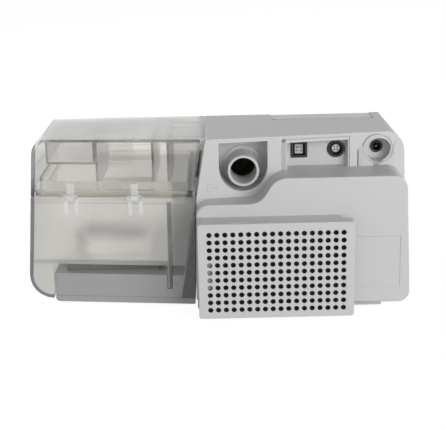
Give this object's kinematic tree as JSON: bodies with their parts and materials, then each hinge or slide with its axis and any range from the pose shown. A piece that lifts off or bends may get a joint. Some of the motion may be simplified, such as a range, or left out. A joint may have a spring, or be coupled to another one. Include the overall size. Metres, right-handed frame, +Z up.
{
  "type": "bilevel pap machine",
  "caption": "Boxy bedside breathing machine with a sloping control face, a docked clear humidifier and a holed filter cap at the back.",
  "frame": {"origin": "on the table, under the middle of the machine's width and depth", "axes": "+Z up, +Y to the filter and the sockets at the back, -Y to the control face, +X to the humidifier's side"},
  "size_m": [0.2802, 0.1893, 0.125],
  "materials": {
    "shell": "fine matt texture",
    "cover": "satin",
    "base_grey": "matt",
    "control_grey": "satin",
    "window": "glossy",
    "clear": "clear, lightly frosted",
    "rubber": "matt",
    "dark": "matt",
    "white_inner": "matt",
    "foam": "open foam",
    "filter_foam": "open foam",
    "filter_fine": "fibre felt",
    "board": "lacquered",
    "parts": "mixed",
    "steel": "brushed",
    "aluminium": "satin",
    "motor_case": "satin",
    "pad": "smooth",
    "lid_rubber": "translucent brown"
  },
  "bodies": {
    "main_unit": {"lower_housing": "shell", "upper_housing": "shell", "bottom_cover": "shell", "main_feet": "rubber", "housing_screws": "steel", "coarse_filter": "filter_foam", "fine_filter": "filter_fine", "filter_frame": "shell", "muffler_case": "base_grey", "muffler_foam": "foam", "inlet_gasket": "rubber", "volute_lower": "white_inner", "volute_upper": "white_inner", "motor": "motor_case", "blower_mounts": "rubber", "blower_hose": "rubber", "outlet_elbow": "white_inner", "outlet_tube": "shell", "elbow_seal": "rubber", "square_socket": "dark", "round_socket": "dark", "socket_pins": "base_grey", "dc_jack": "dark", "dc_pin": "steel", "socket_board": "board", "main_board": "board", "board_parts": "parts", "control_board": "board", "display_cover": "cover", "display_window": "window", "lcd_module": "white_inner", "encoder_body": "control_grey", "card_slot": "dark"},
    "filter_cap": {"filter_cap": "shell"},
    "encoder_turn": {"encoder_rotor": "white_inner"},
    "knob": {"knob_shaft": "steel", "control_knob": "control_grey"},
    "ramp_button": {"ramp_button": "base_grey"},
    "home_button": {"home_button": "base_grey"},
    "mute_button": {"mute_button": "base_grey"},
    "fan": {"impeller": "dark", "motor_shaft": "steel"},
    "card_door": {"card_door": "shell"},
    "humidifier": {"humidifier_base": "base_grey", "humidifier_bottom": "base_grey", "humidifier_feet": "rubber", "heater_plate": "steel", "heater_pad": "pad", "heater_seal": "rubber", "contact_block": "dark", "port_seal": "rubber"},
    "release_button": {"release_button": "base_grey"},
    "chamber": {"water_tank": "clear", "tank_plate": "aluminium", "hinge_pins": "steel"},
    "lid": {"tank_lid": "clear", "lid_seal": "lid_rubber", "lid_baffle": "clear", "return_seal": "rubber"},
    "latch": {"lid_latch": "clear"}
  },
  "joints": [
    {"name": "filter_cap_pull", "type": "slide", "parent": "main_unit", "child": "filter_cap", "axis": [0, 1, 0], "range_m": [0, 0.03]},
    {"name": "knob_turn", "type": "hinge", "parent": "main_unit", "child": "encoder_turn", "pos_m": [-0.01397, -0.07655, 0.09562], "axis": [0, -0.7952, 0.6064], "continuous": true},
    {"name": "knob_push", "type": "slide", "parent": "encoder_turn", "child": "knob", "axis": [0, 0.7952, -0.6064], "range_m": [0, 0.0012], "stiffness_N_per_m": 900, "springref_m": -0.001},
    {"name": "ramp_button_press", "type": "slide", "parent": "main_unit", "child": "ramp_button", "axis": [0, 0.7952, -0.6064], "range_m": [0, 0.0009], "stiffness_N_per_m": 400, "springref_m": -0.001},
    {"name": "home_button_press", "type": "slide", "parent": "main_unit", "child": "home_button", "axis": [0, 0.7952, -0.6064], "range_m": [0, 0.0009], "stiffness_N_per_m": 400, "springref_m": -0.001},
    {"name": "mute_button_press", "type": "slide", "parent": "main_unit", "child": "mute_button", "axis": [0, 0.7952, -0.6064], "range_m": [0, 0.0009], "stiffness_N_per_m": 400, "springref_m": -0.001},
    {"name": "fan_spin", "type": "hinge", "parent": "main_unit", "child": "fan", "pos_m": [-0.07877, -0.022, 0.035], "axis": [0, 0, 1], "continuous": true},
    {"name": "card_door_swing", "type": "hinge", "parent": "main_unit", "child": "card_door", "pos_m": [-0.13864, -0.032, 0.03487], "axis": [0, -1, 0], "range_deg": [0, 100]},
    {"name": "humidifier_undock", "type": "slide", "parent": "main_unit", "child": "humidifier", "axis": [1, 0, 0], "range_m": [0, 0.16]},
    {"name": "release_button_press", "type": "slide", "parent": "humidifier", "child": "release_button", "axis": [0, 1, 0], "range_m": [0, 0.002], "stiffness_N_per_m": 500, "springref_m": -0.001},
    {"name": "chamber_slide", "type": "slide", "parent": "humidifier", "child": "chamber", "axis": [0, -1, 0], "range_m": [0, 0.16]},
    {"name": "lid_swing", "type": "hinge", "parent": "chamber", "child": "lid", "pos_m": [0.10569, 0.04611, 0.0822], "axis": [-0.9917, 0.1288, 0], "range_deg": [0, 95]},
    {"name": "latch_swing", "type": "hinge", "parent": "lid", "child": "latch", "pos_m": [0.08213, -0.08321, 0.0981], "axis": [-1, 0, 0], "range_deg": [0, 35]}
  ]
}
